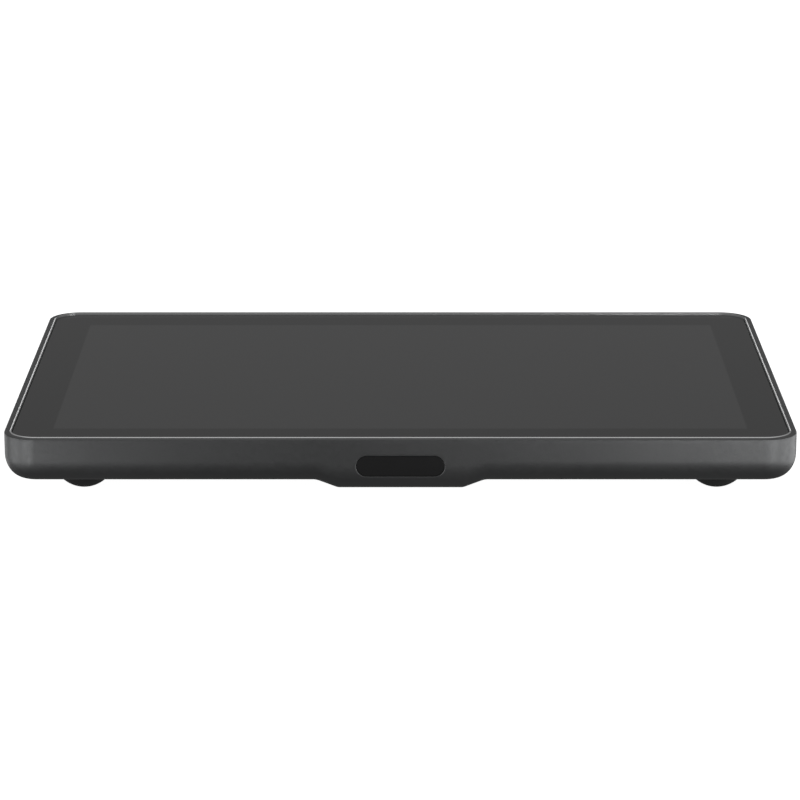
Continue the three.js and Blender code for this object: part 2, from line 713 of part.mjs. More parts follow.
add("reset_button", resetButton(), FINISH.moulding);
add(
  "switch_plunger",
  rod(SWITCH.plunger, STEM_TOP + TOUCHING, SWITCH_LOW + SWITCH.into, RESET_SPOT, 12),
  FINISH.steel,
);
add("reset_switch", resetSwitch(), FINISH.chip);

export default display;
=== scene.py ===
"""Eight-inch smart display lying face up on four domed feet: looks, light and camera."""

import json
import math

import bmesh
import bpy
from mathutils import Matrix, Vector


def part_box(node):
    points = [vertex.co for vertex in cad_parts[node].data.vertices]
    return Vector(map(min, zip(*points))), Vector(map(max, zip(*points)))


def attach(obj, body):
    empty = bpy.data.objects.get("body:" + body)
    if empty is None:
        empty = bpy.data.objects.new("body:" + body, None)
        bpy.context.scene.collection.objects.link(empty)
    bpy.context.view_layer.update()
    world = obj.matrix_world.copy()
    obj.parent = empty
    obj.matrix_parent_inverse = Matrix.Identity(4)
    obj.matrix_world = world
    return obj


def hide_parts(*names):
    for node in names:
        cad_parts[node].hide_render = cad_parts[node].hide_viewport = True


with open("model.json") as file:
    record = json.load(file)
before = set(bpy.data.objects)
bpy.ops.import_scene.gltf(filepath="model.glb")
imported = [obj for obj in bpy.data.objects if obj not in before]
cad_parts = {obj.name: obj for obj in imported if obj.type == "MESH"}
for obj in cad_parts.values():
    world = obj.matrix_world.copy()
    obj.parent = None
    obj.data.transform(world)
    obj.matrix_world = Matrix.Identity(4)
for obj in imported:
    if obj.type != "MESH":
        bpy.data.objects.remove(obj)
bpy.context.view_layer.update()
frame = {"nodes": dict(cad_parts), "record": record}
NODES = frame["nodes"]
DISPLAY = "display"
BUTTON = "reset_button"
MM = 0.001

# ---------- dimensions, in millimetres, as the CAD has them ----------

low, high = (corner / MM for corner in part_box("housing"))
WIDTH, DEPTH = high.x - low.x, high.y - low.y
FRONT = -DEPTH / 2
LAND = high.z
CORNER = 8.3
FLOOR, WALL, FLOOR_INSET = 1.6, 2.0, 4.6
THROUGH, TOUCHING = 1.0, 0.05

# the rounded lower edge, the small rounding beside the land, and the spine under the body
EDGE_INSET, EDGE_HEIGHT, EDGE_TOP = 4.8, 6.0, 0.25
SPINE_BOTTOM, SPINE_DROP = low.z, 2.05
SLAB_BOTTOM = SPINE_BOTTOM + SPINE_DROP
SPINE_HALF, SPINE_REAR, SPINE_RUN, SPINE_STRETCH, SPINE_CORNER = 15.5, 30.0, 2.58, 0.6, 3.0
SPINE_FLOOR = SPINE_BOTTOM + FLOOR
SPINE_ROOM = 13.5

# the ring round the glass, the lit area, and the sensor window
RING_OUTER = high.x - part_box("bezel_ring")[1].x / MM
RING_FIT, RING_WIDE, RING_BEVEL, RING_DRAFT = 0.05, 0.45, 0.3, 0.1
RIM_LAND = RING_OUTER - RING_FIT
GLASS_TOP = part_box("cover_glass")[1].z / MM
ACTIVE_WIDE, ACTIVE_DEEP, ACTIVE_Y = 172.3, 107.7, -1.0
WINDOW_WIDE, WINDOW_HIGH, WINDOW_ROUND, LENS_RECESS, LENS_CLEAR = 21.8, 5.36, 0.22, 0.25, 0.06
WINDOW_Z = sum(corner.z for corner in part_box("sensor_window")) / 2 / MM

# the cable bay and the socket in its front wall
BAY_HALF, BAY_FAR, BAY_DEEP, BAY_CORNER, BAY_WALL, BAY_ROOF = 8.0, 30.0, 7.0, 2.0, 1.0, 0.85
BAY_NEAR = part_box("usb_c_socket")[1].y / MM
BAY_CEILING = SPINE_BOTTOM + BAY_DEEP
SOCKET_WIDE, SOCKET_HIGH, SOCKET_SKIN, SOCKET_BACK, SOCKET_HOLE = 8.94, 3.26, 0.3, 0.9, 0.35
SOCKET_Z = SPINE_BOTTOM + BAY_DEEP / 2
TONGUE_WIDE, TONGUE_LONG, TONGUE_THICK, TONGUE_INSET = 6.7, 5.4, 0.7, 0.5

# feet, screws, inserts, reset button and speaker slots
FOOT_BALL, FOOT_FLAT, FOOT_SEAT, FOOT_GAP = 8.0, 2.0, 0.7, 0.13
BOSS_TOP, BOSS_RADIUS = 8.2, 6.0
SCREW_BORE, SCREW_PILOT, SCREW_LEDGE = 2.7, 1.4, 6.7
POST_RADIUS, POST_PILOT, POST_SINK = 2.5, 0.85, 0.7
INSERT_RADIUS, INSERT_BOSS, INSERT_BOSS_TOP = 2.1, 3.3, 6.2
BUTTON_HOLE, BUTTON_CAP, BUTTON_STEM, BUTTON_FLANGE, BUTTON_REST = 1.8, 1.65, 1.1, 2.5, 0.6
SPEAKER_X = 70.0
SLOT_COUNT, SLOT_PITCH, SLOT_LONG, SLOT_WIDE = 6, 3.2, 16.0, 1.4
BAY_CHAMFER, INSERT_CHAMFER, BUTTON_CHAMFER, SLOT_CHAMFER = 0.35, 0.15, 0.2, 0.18


# ---------- mesh helpers ----------

def arc(cx, cy, radius, start, sweep, steps):
    turns = [start + sweep * i / steps for i in range(steps + 1)]
    return [(cx + radius * math.cos(turn), cy + radius * math.sin(turn)) for turn in turns]


def quarter_turn(steps):
    """The angles from 0 to a right angle."""
    return [math.pi / 2 * i / steps for i in range(steps + 1)]


def rounded_rectangle(width, depth, corner, steps=6, cx=0.0, cy=0.0):
    x, y, quarter = width / 2 - corner, depth / 2 - corner, math.pi / 2
    return [
        point
        for turn, (sx, sy) in enumerate([(1, 1), (-1, 1), (-1, -1), (1, -1)])
        for point in arc(cx + sx * x, cy + sy * y, corner, turn * quarter, quarter, steps)
    ]


def stadium(width, height, steps=20):
    half, radius, quarter = (width - height) / 2, height / 2, math.pi / 2
    right = arc(half, 0, radius, -quarter, math.pi, steps)
    return right + arc(-half, 0, radius, quarter, math.pi, steps)


def circle(radius, cx=0.0, cy=0.0, steps=48):
    return arc(cx, cy, radius, 0, 2 * math.pi * (steps - 1) / steps, steps - 1)


def shade(obj, smooth):
    mesh = obj.data
    mesh.polygons.foreach_set("use_smooth", [True] * len(mesh.polygons))
    mesh.set_sharp_from_angle(angle=math.radians(smooth))


def new_object(name, bm, smooth=35):
    bmesh.ops.recalc_face_normals(bm, faces=bm.faces)
    mesh = bpy.data.meshes.new(name)
    bm.to_mesh(mesh)
    bm.free()
    obj = bpy.data.objects.new(name, mesh)
    bpy.context.scene.collection.objects.link(obj)
    shade(obj, smooth)
    return obj


def skin(bm, rings, wrap=False, caps=True):
    """Joins rings of (x, y, z) millimetre points, with caps at the two ends or wrapped into a loop."""
    made = [[bm.verts.new(Vector(point) * MM) for point in ring] for ring in rings]
    pairs = list(zip(made, made[1:])) + ([(made[-1], made[0])] if wrap else [])
    for lower, upper in pairs:
        count = len(lower)
        for i in range(count):
            j = (i + 1) % count
            bm.faces.new([lower[i], lower[j], upper[j], upper[i]])
    if caps and not wrap:
        bm.faces.new(list(reversed(made[0])))
        bm.faces.new(made[-1])
    return made


def rings_object(name, rings, smooth=35, wrap=False):
    bm = bmesh.new()
    skin(bm, rings, wrap)
    return new_object(name, bm, smooth)


def flat_ring(points, z):
    return [(x, y, z) for x, y in points]


def lathe_rings(profile, cx, cy, steps=48):
    return [flat_ring(circle(radius, cx, cy, steps), z) for radius, z in profile]


def block(bm, left, right, front, rear, bottom, top):
    outline = [(right, front), (right, rear), (left, rear), (left, front)]
    skin(bm, [flat_ring(outline, bottom), flat_ring(outline, top)])


def rod(bm, radius, bottom, top, x, y, steps=40):
    skin(bm, lathe_rings([(radius, bottom), (radius, top)], x, y, steps))


def flared_hole(bm, outline, bottom, top, chamfer):
    """A cutter from bottom to top. outline(grow) gives its shape, flared by a chamfer at the bottom."""
    skin(bm, [
        flat_ring(outline(chamfer + THROUGH), bottom - THROUGH),
        flat_ring(outline(0), bottom + chamfer),
        flat_ring(outline(0), top),
    ])


def combine(obj, bm, operation, smooth=30):
    """Joins every closed shape in bm to obj (UNION), or takes it away (DIFFERENCE)."""
    tool = new_object("tool", bm)
    modifier = obj.modifiers.new("combine", "BOOLEAN")
    modifier.operation, modifier.solver, modifier.object = operation, "EXACT", tool
    depsgraph = bpy.context.evaluated_depsgraph_get()
    mesh = bpy.data.meshes.new_from_object(obj.evaluated_get(depsgraph))
    obj.modifiers.clear()
    obj.data = mesh
    bpy.data.objects.remove(tool)
    shade(obj, smooth)


def paint(obj, mat):
    obj.data.materials.clear()
    obj.data.materials.append(mat)


def finish_piece(obj, mat, slot, body, *nodes):
    paint(obj, mat)
    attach(obj, body)
    if nodes:
        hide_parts(*nodes)
    return obj


# ---------- materials ----------

NOISE_LOW, NOISE_HIGH = 0.3, 0.7  # most of a noise texture's values lie between these
COLOR_DETAIL, ROUGHNESS_DETAIL, BUMP_DETAIL = 3.0, 4, 2.0
COLOR_PATCH, ROUGHNESS_PATCH = 60, 240  # cycles a metre
PRINT_BLACK, PANEL_BLACK = (0.012, 0.012, 0.0125), (0.053, 0.0532, 0.054)


def shader_of(mat):
    return mat.node_tree.nodes["Principled BSDF"]


def material(name, color, roughness, metallic=0.0, **sockets):
    mat = bpy.data.materials.new(name)
    mat.use_nodes = True
    shader = shader_of(mat)
    shader.inputs["Base Color"].default_value = (*color, 1)
    shader.inputs["Roughness"].default_value = roughness
    shader.inputs["Metallic"].default_value = metallic
    for socket, value in sockets.items():
        shader.inputs[socket].default_value = value
    return mat


def node(mat, kind, **inputs):
    made = mat.node_tree.nodes.new(kind)
    for socket, value in inputs.items():
        made.inputs[socket].default_value = value
    return made


def link(mat, source, target):
    mat.node_tree.links.new(source, target)


def noise(mat, scale, detail):
    coords = node(mat, "ShaderNodeTexCoord")
    texture = node(mat, "ShaderNodeTexNoise", Scale=scale, Detail=detail)
    link(mat, coords.outputs["Object"], texture.inputs["Vector"])
    return texture.outputs["Fac"]


def map_range(mat, value, source, result):
    made = node(mat, "ShaderNodeMapRange")
    for word, (start, stop) in (("From", source), ("To", result)):
        made.inputs[word + " Min"].default_value = start
        made.inputs[word + " Max"].default_value = stop
    link(mat, value, made.inputs["Value"])
    return made.outputs["Result"]


def noise_between(mat, scale, detail, lowest, highest):
    """A noise stretched to the range lowest to highest."""
    return map_range(mat, noise(mat, scale, detail), (NOISE_LOW, NOISE_HIGH), (lowest, highest))


def calculate(mat, operation, first, second):
    """One step of arithmetic on a socket and a number or another socket."""
    made = node(mat, "ShaderNodeMath")
    made.operation = operation
    link(mat, first, made.inputs[0])
    if isinstance(second, float):
        made.inputs[1].default_value = second
    elif second:
        link(mat, second, made.inputs[1])
    return made.outputs[0]


def blend_color(mat, factor, first, second):
    """The base colour goes from first to second as factor goes from 0 to 1."""
    mix = node(mat, "ShaderNodeMix")
    mix.data_type = "RGBA"
    colors = [socket for socket in mix.inputs if socket.type == "RGBA"]
    for socket, color in zip(colors, (first, second)):
        socket.default_value = (*color, 1)
    link(mat, factor, mix.inputs["Factor"])
    color = next(socket for socket in mix.outputs if socket.type == "RGBA")
    link(mat, color, shader_of(mat).inputs["Base Color"])


def vary_color(mat, scale, first, second):
    blend_color(mat, noise_between(mat, scale, COLOR_DETAIL, 0, 1), first, second)


def vary_roughness(mat, scale, lowest, highest):
    value = noise_between(mat, scale, ROUGHNESS_DETAIL, lowest, highest)
    link(mat, value, shader_of(mat).inputs["Roughness"])


def add_bump(mat, scale, height, strength=1.0):
    """Grain of a size given by scale, in cycles a metre, and a height in metres."""
    normal = shader_of(mat).inputs["Normal"]
    bump = node(mat, "ShaderNodeBump", Strength=strength, Distance=height)
    link(mat, noise(mat, scale, BUMP_DETAIL), bump.inputs["Height"])
    if normal.links:
        link(mat, normal.links[0].from_socket, bump.inputs["Normal"])
    link(mat, bump.outputs["Normal"], normal)


def plain_finish(name, color, roughness, metallic=0.0, grain=1500, height=4e-5):
    """A finish with a little colour and roughness variation and a fine grain."""
    mat = material(name, color, roughness, metallic)
    vary_color(mat, COLOR_PATCH, [0.9 * c for c in color], [1.1 * c for c in color])
    vary_roughness(mat, ROUGHNESS_PATCH, 0.85 * roughness, min(1, 1.15 * roughness))
    add_bump(mat, grain, height)
    return mat


def anodised():
    """Bead-blasted metal: cloudy by a few per cent, with a coarse and a fine grain."""
    mat = material("graphite_anodised_aluminium", (0.1, 0.102, 0.104), 0.42, 1.0)
    vary_color(mat, 35, (0.165, 0.168, 0.17), (0.185, 0.188, 0.19))
    vary_roughness(mat, 900, 0.4, 0.48)
    add_bump(mat, 5600, 1.5e-5, 0.7)
    add_bump(mat, 14000, 5e-6, 0.4)
    return mat


def polished():
    mat = material("polished_aluminium", (0.82, 0.825, 0.83), 0.25, 1.0)
    vary_roughness(mat, 120, 0.22, 0.28)
    add_bump(mat, 2500, 4e-7, 0.1)
    return mat


def screen_glass():
    """Cover glass: black print round the edge, and the unlit panel a shade lighter behind it."""
    mat = material("screen_glass", PRINT_BLACK, 0.08, 0.0, IOR=1.5)
    coords = node(mat, "ShaderNodeTexCoord")
    split = node(mat, "ShaderNodeSeparateXYZ")
    link(mat, coords.outputs["Object"], split.inputs["Vector"])
    soft = 0.12

    def inside(axis, centre, half):
        away = calculate(mat, "SUBTRACT", split.outputs[axis], centre * MM)
        size = calculate(mat, "ABSOLUTE", away, None)
        return map_range(mat, size, ((half - soft) * MM, (half + soft) * MM), (1, 0))

    wide, deep = inside("X", 0.0, ACTIVE_WIDE / 2), inside("Y", ACTIVE_Y, ACTIVE_DEEP / 2)
    blend_color(mat, calculate(mat, "MULTIPLY", wide, deep), PRINT_BLACK, PANEL_BLACK)
    vary_roughness(mat, 45, 0.035, 0.05)
    add_bump(mat, 18, 2e-6, 0.2)
    return mat


ANODISED = anodised()
POLISHED = polished()
GLASS = screen_glass()
LENS = plain_finish("infrared_lens", (0.02, 0.02, 0.0205), 0.2, grain=900, height=3e-6)
RUBBER = plain_finish("silicone_rubber", (0.02, 0.0205, 0.021), 0.7, grain=2600, height=2e-5)
STEEL = plain_finish("nickel_plated_steel", (0.55, 0.55, 0.54), 0.3, 1.0, height=4e-6)
BRASS = plain_finish("turned_brass", (0.6, 0.43, 0.18), 0.32, 1.0, height=5e-6)
GOLD = plain_finish("gold_plating", (0.85, 0.6, 0.24), 0.25, 1.0, height=2e-6)
NYLON = plain_finish("glass_filled_nylon", (0.026, 0.026, 0.027), 0.62, grain=1800)
SATIN = plain_finish("satin_plastic", (0.045, 0.046, 0.047), 0.5, grain=2200, height=1e-5)

INNER = {
    "foam": plain_finish("foam_tape", (0.02, 0.02, 0.02), 0.95, grain=2500, height=6e-5),
    "film": plain_finish("conductive_film", (0.42, 0.44, 0.46), 0.25),
    "panel": plain_finish("liquid_crystal_cell", (0.02, 0.02, 0.028), 0.2),
    "steel": STEEL,
    "moulding": NYLON,
    "circuit_board": plain_finish("solder_mask", (0.015, 0.08, 0.05), 0.4, grain=700, height=3e-5),
    "chip": plain_finish("epoxy_package", (0.02, 0.02, 0.022), 0.55),
    "shield": plain_finish("tinned_shield", (0.62, 0.63, 0.63), 0.38, 1.0),
    "thermal_pad": plain_finish("thermal_pad", (0.28, 0.36, 0.42), 0.9, grain=900, height=4e-5),
    "flex": plain_finish("polyimide_flex", (0.42, 0.18, 0.04), 0.35),
    "copper": plain_finish("copper_foil", (0.6, 0.3, 0.16), 0.35, 1.0),
}
SLOT_OF = {entry["node"]: entry["material_slot"] for entry in frame["record"]["subparts"]}
for name, cad in NODES.items():
    if SLOT_OF[name] in INNER:
        paint(cad, INNER[SLOT_OF[name]])
paint(NODES["switch_plunger"], STEEL)
paint(NODES["reset_switch"], INNER["chip"])


# ---------- housing ----------

FOOT_RUN = SPINE_RUN * SPINE_DROP


def eased(t, foot=0.16, crest=0.1):
    """t held between 0 and 1, with both corners rounded."""
    if t <= -foot or t >= 1 + crest:
        return 0.0 if t <= -foot else 1.0
    if t < foot:
        return (t + foot) ** 2 / (4 * foot)
    if t > 1 - crest:
        return 1 - (1 + crest - t) ** 2 / (4 * crest)
    return t


def drop(x, y=FRONT):
    """How far the underside is lowered at a point: the spine and its sloped sides."""
    qx, qy = abs(x) - SPINE_HALF + SPINE_CORNER, y - SPINE_REAR + SPINE_CORNER
    outside = math.hypot(max(qx, 0), max(qy, 0)) + min(max(qx, qy), 0) - SPINE_CORNER
    return SPINE_DROP * eased(1 - outside / FOOT_RUN)


def wall_inset(x, z):
    """How far the front wall has moved in at a height."""
    fall = drop(x)
    tall = EDGE_HEIGHT + SPINE_STRETCH * fall
    into = min(max((SLAB_BOTTOM - fall + tall - z) / tall, 0), 1)
    return EDGE_INSET * (1 - math.sqrt(1 - into * into))


CORNER_STEPS, EDGE_STEPS, TOP_STEPS = 18, 18, 4
WALL_LOOPS = (1.2, 3.2)  # below the land
FINE_START, FINE_STEP, FINE_COUNT = SPINE_HALF - 2.5, 0.4, 26
FAR_STATIONS = [30.0, 45.0, 60.0, 75.0]
GRID_REACH, ROW_STEP, ROW_COUNT = 9, 4, 21
FINE_ROW_START, FINE_ROW_STEP, FINE_ROW_COUNT = SPINE_REAR - 3, 0.45, 26
FAR_ROWS = [44.0, 52.0]


def stations():
    """X positions along the front and rear edges, close together where the spine starts."""
    middle = [1.0 * i for i in range(1, int(FINE_START))]
    fine = [FINE_START + FINE_STEP * i for i in range(FINE_COUNT)]
    right = middle + fine + FAR_STATIONS
    return [-x for x in reversed(right)] + [0.0] + right


STATIONS = stations()


def body_outline(inset):
    """The outline in plan, anticlockwise, with the stations on its two long edges."""
    w, d, r = WIDTH / 2 - inset, DEPTH / 2 - inset, CORNER - inset
    quarter = math.pi / 2
    points = arc(w - r, d - r, r, 0, quarter, CORNER_STEPS)
    points += [(x, d) for x in reversed(STATIONS)]
    points += arc(r - w, d - r, r, quarter, quarter, CORNER_STEPS)
    points += arc(r - w, r - d, r, 2 * quarter, quarter, CORNER_STEPS)
    points += [(x, -d) for x in STATIONS]
    points += arc(w - r, r - d, r, 3 * quarter, quarter, CORNER_STEPS)
    return points


def edge_ring(inset, share):
    """One ring of the rounded lower edge: share is 0 at its top and 1 at the underside."""
    ring = []
    for x, y in body_outline(inset):
        fall = drop(x) if y < 0 and abs(x) <= STATIONS[-1] else 0.0
        tall = EDGE_HEIGHT + SPINE_STRETCH * fall
        ring.append((x, y, SLAB_BOTTOM - fall + tall * (1 - share)))
    return ring


def outer_rings():
    """The housing's outside, from the land at the top down to the underside."""
    rings = []
    for angle in quarter_turn(TOP_STEPS):
        inset, fall = EDGE_TOP * (1 - math.sin(angle)), EDGE_TOP * (1 - math.cos(angle))
        rings.append(flat_ring(body_outline(inset), LAND - fall))
    rings += [flat_ring(body_outline(0), LAND - below) for below in WALL_LOOPS]
    for angle in quarter_turn(EDGE_STEPS):
        rings.append(edge_ring(EDGE_INSET * (1 - math.cos(angle)), math.sin(angle)))
    return rings


def close_underside(bm, rim):
    """A grid over the spine between the two long edges of rim, and a flat face on each side of it."""
    count, corner = len(STATIONS), CORNER_STEPS + 1
    rear = list(reversed(rim[corner:corner + count]))
    front = rim[-corner - count:-corner]
    near, far = front[0].co.y / MM, rear[0].co.y / MM
    rows = [near + ROW_STEP * k for k in range(1, ROW_COUNT + 1)]
    rows += [FINE_ROW_START + FINE_ROW_STEP * k for k in range(FINE_ROW_COUNT)]
    rows = sorted(y for y in rows if near < y < far) + FAR_ROWS
    columns = []
    for i, x in enumerate(STATIONS):
        if abs(x) < SPINE_HALF + GRID_REACH:
            inner = [bm.verts.new(Vector((x, y, SLAB_BOTTOM - drop(x, y))) * MM) for y in rows]
            columns.append([front[i], *inner, rear[i]])
    for left, right in zip(columns, columns[1:]):
        for a, b, c, d in zip(left, right, right[1:], left[1:]):
            bm.faces.new([a, d, c, b])

    def side(column, start, stop):
        loop, i = [], rim.index(start)
        while rim[i] != stop:
            loop.append(rim[i])
            i = (i + 1) % len(rim)
        bm.faces.new(loop + column)

    side(columns[0][:-1], columns[0][-1], columns[0][0])
    side(columns[-1][:0:-1], columns[-1][0], columns[-1][-1])


def housing():
    bm = bmesh.new()
    made = skin(bm, outer_rings(), caps=False)
    bm.faces.new(made[0])
    close_underside(bm, made[-1])
    return new_object("housing_shell", bm, 30)


def node_centre(name):
    corner_low, corner_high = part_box(name)
    middle = (corner_low + corner_high) / 2 / MM
    return middle.x, middle.y


PLACES = ["front_left", "front_right", "rear_left", "rear_right"]
FEET = {place: node_centre("foot_" + place) for place in PLACES}
INSERTS = {place: node_centre("mount_insert_" + place) for place in PLACES}
BUTTON_X, BUTTON_Y = node_centre("reset_button")
BOARD_SCREWS = {place: node_centre("board_screw_" + place) for place in PLACES}


def foot_radius(depth):
    centre = math.sqrt(FOOT_BALL ** 2 - FOOT_FLAT ** 2)
    return math.sqrt(FOOT_BALL ** 2 - (centre - SLAB_BOTTOM + depth) ** 2)


def window_ring(grow, depth, follow=True):
    """The window's outline at a depth behind the wall, which it follows round the lower edge."""
    ring = []
    for x, z in stadium(WINDOW_WIDE + 2 * grow, WINDOW_HIGH + 2 * grow):
        y = FRONT + depth + (wall_inset(x, WINDOW_Z + z) if follow else 0)
        ring.append((x, y, WINDOW_Z + z))
    return ring


def socket_ring(y, wide, tall):
    return [(x, y, SOCKET_Z + z) for x, z in stadium(wide, tall, 12)]


def bay_outline(grow=0.0):
    wide, long = 2 * (BAY_HALF + grow), BAY_FAR - BAY_NEAR + 2 * grow
    return rounded_rectangle(wide, long, BAY_CORNER + grow, 8, 0, (BAY_FAR + BAY_NEAR) / 2)


def hollow_out(shell):
    """Room for the screen, the boards, the spine's parts and the sensors."""
    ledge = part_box("glass_gasket")[0].z / MM
    floor_top = SLAB_BOTTOM + FLOOR
    step, board_spare, board_low, board_back, board_roof = 0.001, 0.5, 0.2, 3, 0.6
    bm = bmesh.new()
    skin(bm, [
        flat_ring(body_outline(inset), z)
        for inset, z in (
            (FLOOR_INSET, floor_top), (WALL, BOSS_TOP), (WALL, ledge),
            (RIM_LAND, ledge + step), (RIM_LAND, LAND + THROUGH),
        )
    ])
    combine(shell, bm, "DIFFERENCE")
    bm = bmesh.new()
    front, rear = FRONT + FLOOR_INSET, BAY_NEAR - 2 * BAY_WALL
    block(bm, -SPINE_ROOM, SPINE_ROOM, front, rear, SPINE_FLOOR, floor_top + THROUGH)
    combine(shell, bm, "DIFFERENCE")
    bm = bmesh.new()
    start, stop = (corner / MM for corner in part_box("sensor_board"))
    left, right = start.x - board_spare, stop.x + board_spare
    front, rear = FRONT + WALL - TOUCHING, FRONT + WALL + board_back
    block(bm, left, right, front, rear, start.z - board_low, ledge - board_roof)
    combine(shell, bm, "DIFFERENCE")


def add_bosses(shell):
    """The bay's walls and roof, and what the screws and inserts go into."""
    bm = bmesh.new()
    post_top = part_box("main_board")[0].z / MM - TOUCHING
    foot = SLAB_BOTTOM + FLOOR - TOUCHING
    half, front, rear = BAY_HALF + BAY_WALL, BAY_NEAR - BAY_WALL, BAY_FAR + BAY_WALL
    block(bm, -half, half, front, rear, SPINE_FLOOR - TOUCHING, BAY_CEILING + BAY_ROOF)
    for places, radius, bottom, top in (
        (FEET, BOSS_RADIUS, foot, BOSS_TOP),
        (BOARD_SCREWS, POST_RADIUS, foot, post_top),
        (INSERTS, INSERT_BOSS, SPINE_FLOOR - TOUCHING, INSERT_BOSS_TOP),
    ):
        for x, y in places.values():
            rod(bm, radius, bottom, top, x, y)
    combine(shell, bm, "UNION")


def window_opening():
    """Rings of a cutter through the front wall, with a rounded edge on the outside."""
    outside, steps = 0.5, 5
    rings = [window_ring(WINDOW_ROUND, -outside)]
    for turn in quarter_turn(steps):
        grow, depth = WINDOW_ROUND * (1 - math.sin(turn)), WINDOW_ROUND * (1 - math.cos(turn))
        rings.append(window_ring(grow, depth))
    return rings + [window_ring(0, WALL + THROUGH, follow=False)]


def foot_socket():
    """Radius and height of the seat of a foot, the screw bore above it and the screw's pilot hole."""
    seat, wide = SLAB_BOTTOM + FOOT_SEAT, foot_radius(0) + FOOT_GAP
    return [
        (wide, SLAB_BOTTOM - THROUGH), (wide, seat),
        (SCREW_BORE, seat), (SCREW_BORE, SCREW_LEDGE),
        (SCREW_PILOT, SCREW_LEDGE), (SCREW_PILOT, BOSS_TOP + THROUGH),
    ]


def speaker_slot(x):
    """An outline function: the slot at x, wider all round by grow."""
    spare = 0.02

    def outline(grow):
        wide, long = SLOT_WIDE + 2 * grow, SLOT_LONG + 2 * grow
        return rounded_rectangle(wide, long, SLOT_WIDE / 2 + grow - spare, 6, x, 0)

    return outline


def round_hole(radius, x, y):
    """An outline function: the circle of a radius at x and y, wider all round by grow."""
    return lambda grow: circle(radius + grow, x, y, 40)


def cut_openings(shell):
    """The window, the bay, and every hole in the underside."""
    floor_top = SLAB_BOTTOM + FLOOR
    bm = bmesh.new()
    skin(bm, window_opening())
    flared_hole(bm, bay_outline, SPINE_BOTTOM, BAY_CEILING, BAY_CHAMFER)
    for x, y in FEET.values():
        skin(bm, lathe_rings(foot_socket(), x, y, 64))
    for x, y in BOARD_SCREWS.values():
        rod(bm, POST_PILOT, floor_top - POST_SINK, BOSS_TOP + THROUGH, x, y)
    for place, (x, y) in INSERTS.items():
        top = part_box("mount_insert_" + place)[1].z / MM + 2 * TOUCHING
        hole = round_hole(INSERT_RADIUS + TOUCHING, x, y)
        flared_hole(bm, hole, SPINE_BOTTOM, top, INSERT_CHAMFER)
    hole = round_hole(BUTTON_HOLE, BUTTON_X, BUTTON_Y)
    flared_hole(bm, hole, SPINE_BOTTOM, SPINE_FLOOR + THROUGH, BUTTON_CHAMFER)
    for side in (-1, 1):
        for i in range(SLOT_COUNT):
            slot = speaker_slot(side * SPEAKER_X + (i - (SLOT_COUNT - 1) / 2) * SLOT_PITCH)
            flared_hole(bm, slot, SLAB_BOTTOM, floor_top + THROUGH, SLOT_CHAMFER)
    combine(shell, bm, "DIFFERENCE")
    bm = bmesh.new()
    wide, tall = SOCKET_WIDE + SOCKET_HOLE, SOCKET_HIGH + SOCKET_HOLE
    near, far = BAY_NEAR + THROUGH, BAY_NEAR - BAY_WALL - THROUGH
    skin(bm, [socket_ring(y, wide, tall) for y in (far, near)])
    combine(shell, bm, "DIFFERENCE")


shell = housing()
hollow_out(shell)
add_bosses(shell)
cut_openings(shell)
finish_piece(shell, ANODISED, "housing", DISPLAY, "housing")


# ---------- bezel ring, glass and lens ----------

def bezel():
    """A ring whose outer edge is bevelled up to its crest, and whose inner face leans back a little."""
    inner = RING_OUTER + RING_WIDE
    lean = RING_DRAFT / 2
    bottom, crest = (corner.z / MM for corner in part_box("bezel_ring"))
    ease = 0.03
    section = [
        (RING_OUTER, bottom), (RING_OUTER, LAND),
        (RING_OUTER + RING_BEVEL, crest - ease / 2), (RING_OUTER + RING_BEVEL + ease, crest),
        (inner - lean - ease, crest), (inner - lean, crest - ease),
        (inner + lean, GLASS_TOP), (inner + lean, bottom),
    ]
    rings = [flat_ring(body_outline(inset), z) for inset, z in section]
    return rings_object("bezel_ring_trim", rings, 20, wrap=True)


finish_piece(bezel(), POLISHED, "trim", DISPLAY, "bezel_ring")


def cover_glass():
    bottom, top = (corner.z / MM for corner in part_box("cover_glass"))
    edge = WIDTH / 2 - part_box("cover_glass")[1].x / MM
    ease, steps = 0.18, 4
    rings = [flat_ring(body_outline(edge), bottom)]
    for turn in quarter_turn(steps):
        inset, fall = ease * (1 - math.cos(turn)), ease * (1 - math.sin(turn))
        rings.append(flat_ring(body_outline(edge + inset), top - fall))
    rings.append(flat_ring(body_outline(edge + 2 * ease), top))
    return rings_object("screen_cover_glass", rings, 40)


finish_piece(cover_glass(), GLASS, "glass", DISPLAY, "cover_glass")


def sensor_lens():
    """A lens set back in the window, with an eased edge and loops that let its face follow the wall."""
    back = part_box("sensor_window")[1].y / MM
    ease, steps = 0.08, 4
    rings = [[(x, back, z) for x, _, z in window_ring(-LENS_CLEAR, 0)]]
    for turn in quarter_turn(steps):
        inset, fall = ease * (1 - math.cos(turn)), ease * (1 - math.sin(turn))
        rings.append(window_ring(-LENS_CLEAR - inset, LENS_RECESS + fall))
    rings += [window_ring(-inset, LENS_RECESS) for inset in (0.5, 1.0, 1.5, 2.0, 2.4, 2.6)]
    return rings_object("sensor_lens", rings, 40)


finish_piece(sensor_lens(), LENS, "sensor_lens", DISPLAY, "sensor_window")


# ---------- feet and the details of the underside ----------

def rubber_foot(place):
    """A ball-shaped foot with a small flat, seated in a round recess."""
    x, y = FEET[place]
    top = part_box("foot_" + place)[1].z / MM
    wide = foot_radius(0)
    ease, steps, flat = 0.1, 14, 0.9 * FOOT_FLAT
    profile = [(wide - ease, top), (wide, top - ease)]
    for turn in quarter_turn(steps):
        depth = SLAB_BOTTOM * math.sin(turn)
        profile.append((foot_radius(min(depth, SLAB_BOTTOM)), SLAB_BOTTOM - depth))
    profile.append((flat, 0))
    return rings_object("rubber_foot_" + place, lathe_rings(profile, x, y, 72), 40)


